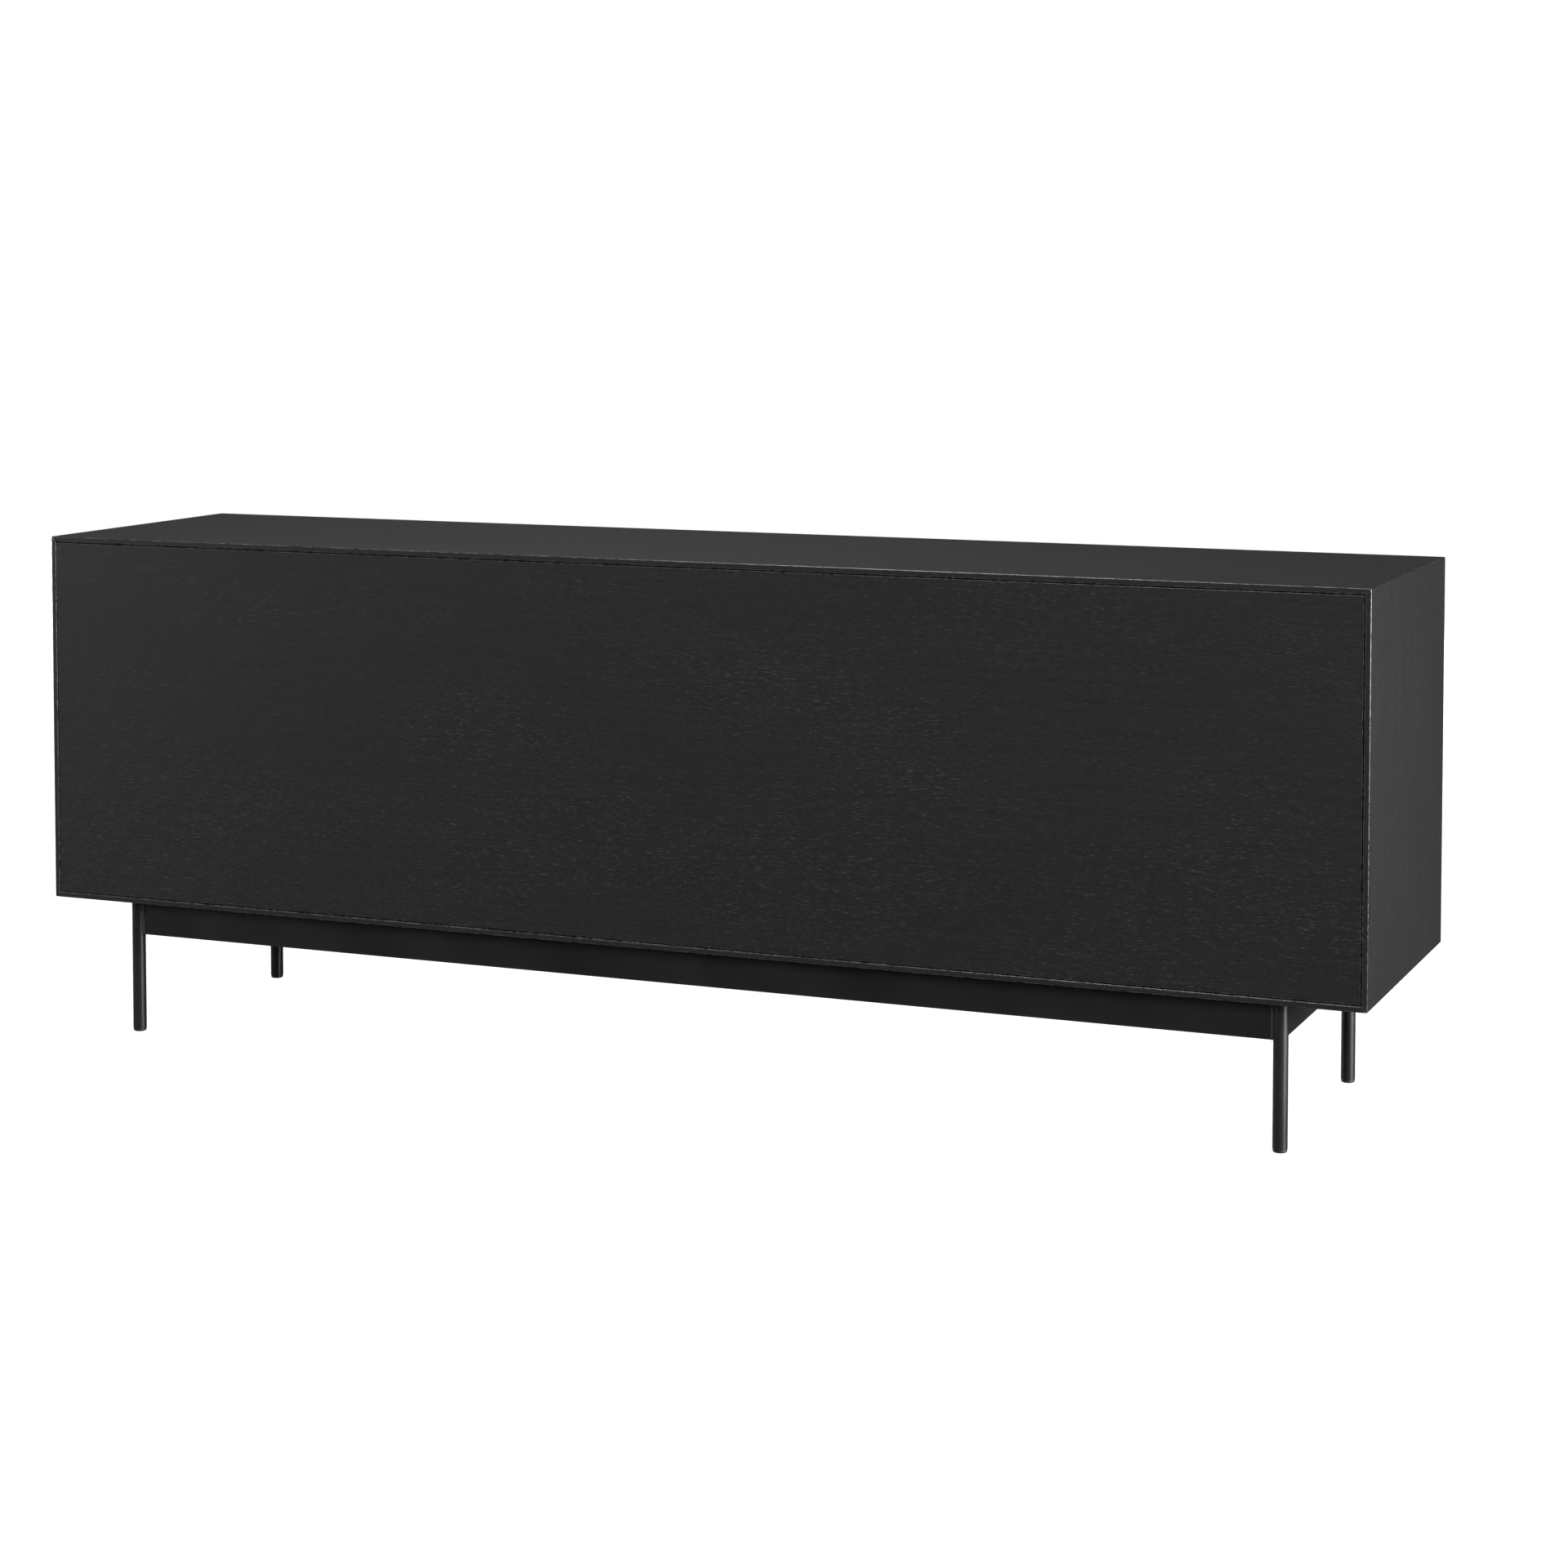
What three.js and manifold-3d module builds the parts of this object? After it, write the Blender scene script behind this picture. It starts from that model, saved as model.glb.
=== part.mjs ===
// A low, wide dresser: a mitred wooden case with six drawers, standing on a recessed steel base.
// Millimetres. X runs along the width, the drawers open towards -Y, and +Z is up.
// The origin is on the floor, under the middle of the case.

import * as THREE from 'three';
import { mergeVertices } from 'three/addons/utils/BufferGeometryUtils.js';
import Module from 'manifold-3d';

const wasm = await Module();
wasm.setup();

// Overall sizes.
const width = 2000;
const depth = 472;
const caseHeight = 546;
const legHeight = 202;

// Pieces that touch keep this space between them.
const jointGap = 0.3;

// Case: boards, the thin lip that frames both faces, and the panel that closes the back.
const boardThickness = 18;
const lipThickness = 8;
const dividerThickness = 18;
const panelThickness = 8;
const panelRecess = 0.5;
const panelShadowGap = 1.5;

// Drawers: two rows of three. A finger reaches over the bevelled top edge of each front.
const columns = ['left', 'middle', 'right'];
const rows = ['lower', 'upper'];
const frontThickness = 19;
const frontRecess = 1;
const frontSeat = 1;
const frontGap = 3;
const fingerGap = 22;
const fingerBevel = 12;
const boxRise = 14;
const boxTopDrop = 38;
const boxClearance = 3;
const boxRearSpace = 20;
const boxSideThickness = 14;
const boxBackThickness = 12;
const boxBackDrop = 10;
const boxBottomThickness = 6;
const boxBottomRise = 10;
const boxBottomTongue = 6;
const boxBottomPlay = 0.5;

// Wooden runners, screwed to the case and held in a groove in each drawer side.
const runnerHeight = 16;
const runnerGrooveDepth = 7;
const runnerPlay = 0.5;
const runnerFrontSpace = 6;
const runnerRearSpace = 8;

// Steel base: tube legs, flat rails between them, and two straps under the case.
const legDiameter = 20;
const legWall = 1.5;
const legInsetX = 122;
const legInsetY = 39;
const footHeight = 8;
const footStep = 0.4;
const footCorner = 2;
const legSides = 40;
const railHeight = 54;
const railThickness = 6;
const strapWidth = 40;
const strapThickness = 4;

// Planes that several pieces share.
const frontPlane = -depth / 2;
const backPlane = depth / 2;
const caseBottom = legHeight;
const caseTop = legHeight + caseHeight;
const innerBottom = caseBottom + boardThickness;
const innerTop = caseTop - boardThickness;
const innerHalfWidth = width / 2 - boardThickness;
const frontRebate = frontRecess + frontThickness + frontSeat;
const backRebate = panelRecess + panelThickness + jointGap;
const innerFront = frontPlane + frontRebate;
const innerBack = backPlane - backRebate;

const bayWidth = (2 * innerHalfWidth - (columns.length - 1) * dividerThickness) / columns.length;
const bayPitch = bayWidth + dividerThickness;

const openingHalfWidth = width / 2 - lipThickness;
const openingHeight = caseHeight - 2 * lipThickness;
const frontWidth = (2 * openingHalfWidth - (columns.length + 1) * frontGap) / columns.length;
const frontHeight = (openingHeight - frontGap - rows.length * fingerGap) / rows.length;
const rowPitch = frontHeight + fingerGap;
const boxHeight = frontHeight - boxRise - boxTopDrop;
const runnerRise = (boxHeight - runnerHeight) / 2;

// Finishes.
const stainedOak = new THREE.MeshStandardMaterial({ color: '#2a2a2b', roughness: 0.5, metalness: 0 });
const blackSteel = new THREE.MeshStandardMaterial({ color: '#1c1c1d', roughness: 0.45, metalness: 0.4 });
const drawerWood = new THREE.MeshStandardMaterial({ color: '#c9ab82', roughness: 0.6, metalness: 0 });

const dresser = new THREE.Group();

function addPiece(parent, name, geometry, material, x, y, z) {
  const piece = new THREE.Mesh(geometry, material.clone());
  piece.name = name;
  piece.position.set(x, y, z);
  parent.add(piece);
  return piece;
}

function solidOf(geometry) {
  const bare = geometry.clone();
  bare.deleteAttribute('normal');
  bare.deleteAttribute('uv');
  const merged = mergeVertices(bare, 1e-3);
  const vertProperties = new Float32Array(merged.attributes.position.array);
  const triVerts = new Uint32Array(merged.index.array);
  return new wasm.Manifold(new wasm.Mesh({ numProp: 3, vertProperties, triVerts }));
}

function geometryOf(solid) {
  const mesh = solid.getMesh();
  const geometry = new THREE.BufferGeometry();
  geometry.setAttribute('position', new THREE.BufferAttribute(mesh.vertProperties, 3));
  geometry.setIndex(new THREE.BufferAttribute(mesh.triVerts, 1));
  geometry.computeVertexNormals();
  return geometry;
}

function shapeOf(points) {
  return new THREE.Shape(points.map(([across, up]) => new THREE.Vector2(across, up)));
}

// A (y, z) outline made as long as asked along X, centred on x = 0.
function extrudeAlongX(points, length) {
  const geometry = new THREE.ExtrudeGeometry(shapeOf(points), { depth: length, bevelEnabled: false });
  geometry.translate(0, 0, -length / 2);
  const xAxis = new THREE.Vector3(1, 0, 0);
  const yAxis = new THREE.Vector3(0, 1, 0);
  const zAxis = new THREE.Vector3(0, 0, 1);
  return geometry.applyMatrix4(new THREE.Matrix4().makeBasis(yAxis, zAxis, xAxis));
}

// An (x, z) outline made as long as asked along Y, centred on y = 0.
function extrudeAlongY(points, length) {
  const geometry = new THREE.ExtrudeGeometry(shapeOf(points), { depth: length, bevelEnabled: false });
  geometry.translate(0, 0, -length / 2);
  return geometry.rotateX(Math.PI / 2);
}

// A case board with its outer face up at z = 0. Both long edges are rebated from inside, which
// leaves the lip, and both ends are mitred so that four boards meet in clean corners.
function mitredBoard(length) {
  const section = [
    [frontPlane, 0],
    [frontPlane, -lipThickness],
    [innerFront, -lipThickness],
    [innerFront, -boardThickness],
    [innerBack, -boardThickness],
    [innerBack, -lipThickness],
    [backPlane, -lipThickness],
    [backPlane, 0],
  ];
  const mitreSetback = jointGap * Math.SQRT1_2;
  const outerHalf = length / 2 - mitreSetback;
  const innerHalf = outerHalf - boardThickness;
  const mitres = [
    [-outerHalf, 0],
    [-innerHalf, -boardThickness],
    [innerHalf, -boardThickness],
    [outerHalf, 0],
  ];
  const plank = solidOf(extrudeAlongX(section, length));
  return geometryOf(plank.intersect(solidOf(extrudeAlongY(mitres, depth))));
}

// The case: four mitred boards, two dividers and the back panel.
function addCase() {
  const middle = (caseBottom + caseTop) / 2;
  const sideBoard = mitredBoard(caseHeight);
  const flatBoard = mitredBoard(width);
  addPiece(dresser, 'case_top', flatBoard, stainedOak, 0, 0, caseTop);
  addPiece(dresser, 'case_bottom', flatBoard, stainedOak, 0, 0, caseBottom).rotation.y = Math.PI;
  addPiece(dresser, 'case_left', sideBoard, stainedOak, -width / 2, 0, middle).rotation.y = -Math.PI / 2;
  addPiece(dresser, 'case_right', sideBoard, stainedOak, width / 2, 0, middle).rotation.y = Math.PI / 2;

  const dividerHeight = innerTop - innerBottom - 2 * jointGap;
  const divider = new THREE.BoxGeometry(dividerThickness, innerBack - innerFront, dividerHeight);
  const dividerY = (innerFront + innerBack) / 2;
  addPiece(dresser, 'divider_left', divider, stainedOak, -bayPitch / 2, dividerY, middle);
  addPiece(dresser, 'divider_right', divider, stainedOak, bayPitch / 2, dividerY, middle);

  const panelWidth = 2 * (openingHalfWidth - panelShadowGap);
  const panelHeight = openingHeight - 2 * panelShadowGap;
  const panel = new THREE.BoxGeometry(panelWidth, panelThickness, panelHeight);
  const panelY = backPlane - panelRecess - panelThickness / 2;
  addPiece(dresser, 'back_panel', panel, stainedOak, 0, panelY, middle);
}

// A drawer front: the top edge is bevelled behind for the fingers, and the drawer's bottom
// board is let into a stopped groove near the lower edge, boxOffset from the front's middle.
function drawerFront(boxWidth, boxOffset) {
  const section = [
    [-frontThickness, 0],
    [0, 0],
    [0, frontHeight - fingerBevel],
    [-fingerBevel, frontHeight],
    [-frontThickness, frontHeight],
  ];
  const grooveWidth = boxWidth - 2 * boxSideThickness + 2 * boxBottomTongue;
  const grooveHeight = boxBottomThickness + 2 * boxBottomPlay;
  const groove = new THREE.BoxGeometry(grooveWidth, 2 * boxBottomTongue, grooveHeight);
  groove.translate(boxOffset, 0, boxRise + boxBottomRise + boxBottomThickness / 2);
  return geometryOf(solidOf(extrudeAlongX(section, frontWidth)).subtract(solidOf(groove)));
}

// A drawer side, seen end on: x = 0 is its outer face, x grows towards the inside of the drawer.
// The runner's groove is in the outer face and the bottom board's groove is in the inner face.
function drawerSideOutline() {
  const runnerLow = runnerRise - runnerPlay;
  const runnerHigh = runnerRise + runnerHeight + runnerPlay;
  const bottomLow = boxBottomRise - boxBottomPlay;
  const bottomHigh = boxBottomRise + boxBottomThickness + boxBottomPlay;
  return [
    [0, 0],
    [boxSideThickness, 0],
    [boxSideThickness, bottomLow],
    [boxSideThickness - boxBottomTongue, bottomLow],
    [boxSideThickness - boxBottomTongue, bottomHigh],
    [boxSideThickness, bottomHigh],
    [boxSideThickness, boxHeight],
    [0, boxHeight],
    [0, runnerHigh],
    [runnerGrooveDepth, runnerHigh],
    [runnerGrooveDepth, runnerLow],
    [0, runnerLow],
  ];
}

// One drawer, in a group whose origin is the middle of the front's inner face, at the level
// of the underside of the box. frontOffset is how far the front's middle is from the box's.
function addDrawer(name, x, z, frontOffset) {
  const drawer = new THREE.Group();
  drawer.position.set(x, innerFront - frontSeat, z);
  dresser.add(drawer);

  const boxWidth = bayWidth - 2 * boxClearance;
  const boxDepth = innerBack - innerFront - boxRearSpace;
  const sideY = jointGap + boxDepth / 2;
  const front = drawerFront(boxWidth, -frontOffset);
  addPiece(drawer, `${name}_front`, front, stainedOak, frontOffset, 0, -boxRise);

  const outline = drawerSideOutline();
  const mirrored = outline.map(([across, up]) => [-across, up]).reverse();
  const leftSide = extrudeAlongY(outline, boxDepth);
  const rightSide = extrudeAlongY(mirrored, boxDepth);
  addPiece(drawer, `${name}_side_left`, leftSide, drawerWood, -boxWidth / 2, sideY, 0);
  addPiece(drawer, `${name}_side_right`, rightSide, drawerWood, boxWidth / 2, sideY, 0);

  const innerWidth = boxWidth - 2 * boxSideThickness;
  const bottomTongue = boxBottomTongue - boxBottomPlay;
  const bottomWidth = innerWidth + 2 * bottomTongue;
  const bottomDepth = boxDepth + bottomTongue;
  const bottom = new THREE.BoxGeometry(bottomWidth, bottomDepth, boxBottomThickness);
  const bottomY = jointGap + boxDepth - bottomDepth / 2;
  const bottomZ = boxBottomRise + boxBottomThickness / 2;
  addPiece(drawer, `${name}_bottom`, bottom, drawerWood, 0, bottomY, bottomZ);

  const backLow = boxBottomRise + boxBottomThickness + jointGap;
  const backHeight = boxHeight - boxBackDrop - backLow;
  const back = new THREE.BoxGeometry(innerWidth - 2 * jointGap, boxBackThickness, backHeight);
  const backY = jointGap + boxDepth - boxBackThickness / 2;
  addPiece(drawer, `${name}_back`, back, drawerWood, 0, backY, backLow + backHeight / 2);
}

// A pair of runners for one drawer, one on each wall of its bay.
function addRunners(name, x, z) {
  const runnerThickness = boxClearance + runnerGrooveDepth - runnerPlay - jointGap;
  const runnerLength = innerBack - innerFront - runnerFrontSpace - runnerRearSpace;
  const runner = new THREE.BoxGeometry(runnerThickness, runnerLength, runnerHeight);
  const runnerX = bayWidth / 2 - jointGap - runnerThickness / 2;
  const runnerY = innerFront + runnerFrontSpace + runnerLength / 2;
  const runnerZ = z + runnerRise + runnerHeight / 2;
  addPiece(dresser, `runner_${name}_left`, runner, drawerWood, x - runnerX, runnerY, runnerZ);
  addPiece(dresser, `runner_${name}_right`, runner, drawerWood, x + runnerX, runnerY, runnerZ);
}

function addDrawers() {
  rows.forEach((row, rowIndex) => {
    const frontLow = caseBottom + lipThickness + frontGap + rowIndex * rowPitch;
    columns.forEach((column, columnIndex) => {
      const step = columnIndex - (columns.length - 1) / 2;
      const bayX = step * bayPitch;
      const frontX = step * (frontWidth + frontGap);
      addDrawer(`drawer_${row}_${column}`, bayX, frontLow + boxRise, frontX - bayX);
      addRunners(`${row}_${column}`, bayX, frontLow + boxRise);
    });
  });
}

// A tube leg, open at its upper end and closed by its rounded foot.
function legGeometry() {
  const radius = legDiameter / 2;
  const bore = radius - legWall;
  const footRadius = radius - footStep;
  const height = legHeight - jointGap;
  const profile = [
    [0, 0],
    [footRadius - footCorner, 0],
    [footRadius - footCorner * (1 - Math.SQRT1_2), footCorner * (1 - Math.SQRT1_2)],
    [footRadius, footCorner],
    [footRadius, footHeight / 2],
    [radius, footHeight / 2],
    [radius, height],
    [bore, height],
    [bore, footHeight],
    [0, footHeight],
  ];
  const points = profile.map(([across, up]) => new THREE.Vector2(across, up));
  return new THREE.LatheGeometry(points, legSides).rotateX(Math.PI / 2);
}

// The base: legs, rails centred on the legs' axes, and straps that carry the dividers.
function addBase() {
  const legX = width / 2 - legInsetX;
  const legY = depth / 2 - legInsetY;
  for (const [depthName, sideY] of [['front', -1], ['back', 1]]) {
    for (const [sideName, sideX] of [['left', -1], ['right', 1]]) {
      addPiece(dresser, `leg_${depthName}_${sideName}`, legGeometry(), blackSteel, sideX * legX, sideY * legY, 0);
    }
  }

  const railEnd = legDiameter / 2 + jointGap;
  const railZ = caseBottom - jointGap - railHeight / 2;
  const longRail = new THREE.BoxGeometry(2 * (legX - railEnd), railThickness, railHeight);
  const shortRail = new THREE.BoxGeometry(railThickness, 2 * (legY - railEnd), railHeight);
  addPiece(dresser, 'rail_front', longRail, blackSteel, 0, -legY, railZ);
  addPiece(dresser, 'rail_back', longRail, blackSteel, 0, legY, railZ);
  addPiece(dresser, 'rail_left', shortRail, blackSteel, -legX, 0, railZ);
  addPiece(dresser, 'rail_right', shortRail, blackSteel, legX, 0, railZ);

  const strapLength = 2 * (legY - railThickness / 2 - jointGap);
  const strapZ = caseBottom - jointGap - strapThickness / 2;
  const strap = new THREE.BoxGeometry(strapWidth, strapLength, strapThickness);
  addPiece(dresser, 'strap_left', strap, blackSteel, -bayPitch / 2, 0, strapZ);
  addPiece(dresser, 'strap_right', strap, blackSteel, bayPitch / 2, 0, strapZ);
}

addCase();
addDrawers();
addBase();

export default dresser;
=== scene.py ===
import math

import bmesh
import bpy
from mathutils import Matrix, Vector


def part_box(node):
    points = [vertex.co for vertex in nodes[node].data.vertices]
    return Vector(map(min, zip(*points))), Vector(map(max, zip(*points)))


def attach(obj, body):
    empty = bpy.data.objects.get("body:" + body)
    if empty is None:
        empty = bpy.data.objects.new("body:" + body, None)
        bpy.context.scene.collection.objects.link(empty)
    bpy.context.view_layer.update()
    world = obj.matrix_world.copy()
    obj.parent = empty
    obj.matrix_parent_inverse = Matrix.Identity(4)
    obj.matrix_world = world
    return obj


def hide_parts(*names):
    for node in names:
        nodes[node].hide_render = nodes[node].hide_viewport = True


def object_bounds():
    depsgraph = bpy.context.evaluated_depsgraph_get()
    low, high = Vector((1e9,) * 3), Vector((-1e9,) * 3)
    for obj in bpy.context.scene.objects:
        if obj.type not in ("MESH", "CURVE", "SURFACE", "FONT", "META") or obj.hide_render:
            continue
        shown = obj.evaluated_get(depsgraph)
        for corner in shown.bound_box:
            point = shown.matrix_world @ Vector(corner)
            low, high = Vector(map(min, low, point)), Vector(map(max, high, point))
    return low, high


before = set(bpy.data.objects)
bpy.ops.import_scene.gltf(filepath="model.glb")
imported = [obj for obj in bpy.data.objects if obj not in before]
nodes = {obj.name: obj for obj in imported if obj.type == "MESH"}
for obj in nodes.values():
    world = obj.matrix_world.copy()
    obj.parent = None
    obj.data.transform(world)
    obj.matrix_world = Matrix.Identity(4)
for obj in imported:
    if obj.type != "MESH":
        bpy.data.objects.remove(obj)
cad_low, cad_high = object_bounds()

# ---------------------------------------------------------------------------------------------
# Camera: it stands behind the dresser and off to one side, above the top board, and looks
# almost level, with its lens shifted down so that the case's upright edges stay upright.
camera_data = bpy.data.cameras.new("camera")
camera_data.lens = 75.59
camera_data.sensor_width = 36.0
camera_data.shift_y = -0.22
camera_data.clip_start = 0.1
camera_data.clip_end = 100.0
camera = bpy.data.objects.new("camera", camera_data)
bpy.context.scene.collection.objects.link(camera)
camera_tilt = -3.282
camera_heading = 202.55
camera.location = (-1.907, 4.366, 1.177)
camera.rotation_euler = (math.radians(90 + camera_tilt), 0, math.radians(camera_heading))
bpy.context.scene.camera = camera

# ---------------------------------------------------------------------------------------------
# Case boards: black-stained oak veneer on a fibreboard core, mitred and glued at the corners.
# Each is sprayed with a satin lacquer, and its edges are eased by hand with fine paper.
mm = 0.001
case_ease = 1.15 * mm
case_ease_steps = 3
smallest_sharp_angle = 30
board_crease_angle = 32


def linear(colour):
    """An sRGB hex colour as linear RGBA."""
    channels = [int(colour[i:i + 2], 16) / 255 for i in (1, 3, 5)]
    curve = [c / 12.92 if c <= 0.04045 else ((c + 0.055) / 1.055) ** 2.4 for c in channels]
    return (*curve, 1.0)


def add_node(tree, kind, settings=None, stops=(), **inputs):
    """Adds a node. An input is a value, or a socket that is linked to it.

    An input is named, or is _ and its number. stops are the two ends of a colour ramp,
    each a position and a colour.
    """
    node = tree.nodes.new(kind)
    for name, value in (settings or {}).items():
        setattr(node, name, value)
    if stops:
        for element, (position, colour) in zip(node.color_ramp.elements, stops):
            element.position = position
            element.color = colour
    for name, value in inputs.items():
        key = int(name[1:]) if name[0] == "_" and name[1:].isdigit() else name.replace("_", " ")
        if isinstance(value, bpy.types.NodeSocket):
            tree.links.new(value, node.inputs[key])
        else:
            node.inputs[key].default_value = value
    return node


def new_material(name):
    """A material and its node tree, which is empty."""
    material = bpy.data.materials.new(name)
    material.use_nodes = True
    tree = material.node_tree
    tree.nodes.clear()
    return material, tree


black, white = (0.0, 0.0, 0.0, 1.0), (1.0, 1.0, 1.0, 1.0)
dark_grey = (0.4, 0.4, 0.4, 1.0)


def veneer(name, along, seed, dark, light, pore, figure=1.0):
    """Open-pored oak veneer under lacquer. along is the axis that the grain runs on."""
    material, tree = new_material(name)
    where = add_node(tree, "ShaderNodeTexCoord").outputs["Object"]
    turn = {"X": (0, 0, 0), "Y": (0, 0, math.radians(90)), "Z": (0, math.radians(90), 0)}[along]
    grain = add_node(tree, "ShaderNodeMapping", Vector=where, Rotation=turn,
                     Location=(seed * 1.7, seed * 0.9, seed * 0.4)).outputs["Vector"]
    # Flitches of slightly different tone, 150 to 400 mm across.
    broad_space = add_node(tree, "ShaderNodeMapping", Vector=grain, Scale=(0.5, 3.2, 3.2))
    broad = add_node(tree, "ShaderNodeTexNoise", Vector=broad_space.outputs["Vector"],
                     Scale=1.0, Detail=2.0, Roughness=0.5).outputs["Fac"]
    # Growth rings, which show as long lines 1 to 4 mm apart that wander a little.
    ring_space = add_node(tree, "ShaderNodeMapping", Vector=grain, Scale=(5.0, 230.0, 230.0))
    rings = add_node(tree, "ShaderNodeTexNoise", Vector=ring_space.outputs["Vector"],
                     Scale=1.0, Detail=5.0, Roughness=0.62, Distortion=0.6).outputs["Fac"]
    # Pores: open vessels 4 to 12 mm long. They are drawn 0.8 mm wide, not 0.3, so that they show.
    pore_space = add_node(tree, "ShaderNodeMapping", Vector=grain, Scale=(105.0, 1250.0, 1250.0))
    pores = add_node(tree, "ShaderNodeTexNoise", Vector=pore_space.outputs["Vector"],
                     Scale=1.0, Detail=1.0, Roughness=0.4).outputs["Fac"]
    patch_space = add_node(tree, "ShaderNodeMapping", Vector=grain, Scale=(3.0, 9.0, 9.0))
    patches = add_node(tree, "ShaderNodeTexNoise", Vector=patch_space.outputs["Vector"],
                       Scale=1.0, Detail=2.0).outputs["Fac"]
    # Only the noise's peaks are pores, and they are fainter in some patches than in others.
    flecks = add_node(tree, "ShaderNodeValToRGB", stops=[(0.62, black), (0.74, white)],
                      Fac=pores).outputs["Color"]
    patch_mask = add_node(tree, "ShaderNodeValToRGB", stops=[(0.38, dark_grey), (0.64, white)],
                          Fac=patches).outputs["Color"]
    open_pores = add_node(tree, "ShaderNodeMath", {"operation": "MULTIPLY"},
                          _0=flecks, _1=patch_mask).outputs[0]

    tone = add_node(tree, "ShaderNodeMath", {"operation": "MULTIPLY_ADD"},
                    _0=rings, _1=0.65 * figure, _2=0.18).outputs[0]
    tone = add_node(tree, "ShaderNodeMath", {"operation": "MULTIPLY_ADD", "use_clamp": True},
                    _0=broad, _1=0.35 * figure, _2=tone).outputs[0]
    colour = add_node(tree, "ShaderNodeMix", {"data_type": "RGBA"}, Factor=tone,
                      _6=linear(dark), _7=linear(light)).outputs[2]
    pore_share = add_node(tree, "ShaderNodeMath", {"operation": "MULTIPLY"},
                          _0=open_pores, _1=0.55).outputs[0]
    colour = add_node(tree, "ShaderNodeMix", {"data_type": "RGBA"}, Factor=pore_share,
                      _6=colour, _7=linear(pore)).outputs[2]
    return material, tree, colour, rings, open_pores


def finish_wood(tree, colour, rings, open_pores, gloss, relief, edge_wear_and_highlight=None, rubbed=-0.06):
    """Lacquer over the wood: gloss is its (lowest, highest) roughness, relief its bump.

    The rounded edges are rubbed to more of a shine, and may be given a lighter colour in patches: a
    painted highlight along the arris that also looks like worn lacquer.
    """
    low, high = gloss
    edge = add_node(tree, "ShaderNodeAttribute", {"attribute_name": "arris"}).outputs["Fac"]
    rough = add_node(tree, "ShaderNodeMapRange", Value=rings, To_Min=low, To_Max=high).outputs[0]
    rough = add_node(tree, "ShaderNodeMath", {"operation": "MULTIPLY_ADD", "use_clamp": True},
                     _0=open_pores, _1=0.12, _2=rough).outputs[0]
    rough = add_node(tree, "ShaderNodeMath", {"operation": "MULTIPLY_ADD", "use_clamp": True},
                     _0=edge, _1=rubbed, _2=rough).outputs[0]
    # Lighter colour in patches along the rounded edges: a painted highlight on the arris, laid out
    # like wear.
    if edge_wear_and_highlight is not None:
        place = add_node(tree, "ShaderNodeTexCoord").outputs["Object"]
        edge_wear_and_highlight_noise = add_node(tree, "ShaderNodeTexNoise", Vector=place, Scale=160.0, Detail=3.0)
        edge_wear_and_highlight_mask = add_node(tree, "ShaderNodeValToRGB", stops=[(0.36, black), (0.66, white)],
                        Fac=edge_wear_and_highlight_noise.outputs["Fac"])
        share = add_node(tree, "ShaderNodeMath", {"operation": "MULTIPLY"},
                         _0=edge, _1=edge_wear_and_highlight_mask.outputs["Color"])
        colour = add_node(tree, "ShaderNodeMix", {"data_type": "RGBA"}, Factor=share.outputs[0],
                          _6=colour, _7=linear(edge_wear_and_highlight)).outputs[2]
    height = add_node(tree, "ShaderNodeMath", {"operation": "SUBTRACT"},
                      _0=rings, _1=open_pores).outputs[0]
    bump = add_node(tree, "ShaderNodeBump", Height=height, Strength=1.0, Distance=relief)
    shader = add_node(tree, "ShaderNodeBsdfPrincipled", Base_Color=colour, Roughness=rough,
                      Normal=bump.outputs["Normal"], IOR=1.5)
    add_node(tree, "ShaderNodeOutputMaterial", Surface=shader.outputs["BSDF"])


def black_oak(name, along, seed):
    """Oak stained black, nearly even, with the pores a shade lighter: partly lacquer in them,
    partly a painted highlight on the pores.
    """
    material, tree, *patterns = veneer(name, along, seed, "#151515", "#1f1f1f", "#424241")
    # The lighter colour on the rounded edges is a painted highlight along the arris, in patches
    # like wear.
    finish_wood(tree, *patterns, gloss=(0.38, 0.5), relief=0.06 * mm,
                edge_wear_and_highlight="#4e4e4d", rubbed=-0.2)
    return material


def solid_from(node):
    """The CAD node's shape with its doubled points merged and its flat faces whole."""
    shape = bmesh.new()
    shape.from_mesh(nodes[node].data)
    bmesh.ops.remove_doubles(shape, verts=shape.verts, dist=0.02 * mm)
    bmesh.ops.dissolve_limit(shape, angle_limit=math.radians(1), verts=shape.verts,
                             edges=shape.edges)
    return shape


def ease(shape, width, steps):
    """Rounds every sharp edge of a shape, and marks the rounded faces in the arris attribute."""
    mark = shape.faces.layers.float.new("arris")
    least = math.radians(smallest_sharp_angle)
    sharp = [e for e in shape.edges if e.is_manifold and e.calc_face_angle() > least]
    done = bmesh.ops.bevel(shape, geom=sharp, offset=width, offset_type="OFFSET",
                           segments=steps, profile=0.5, affect="EDGES", clamp_overlap=True,
                           harden_normals=False)
    for face in done["faces"]:
        face[mark] = 1.0
    return shape


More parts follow.
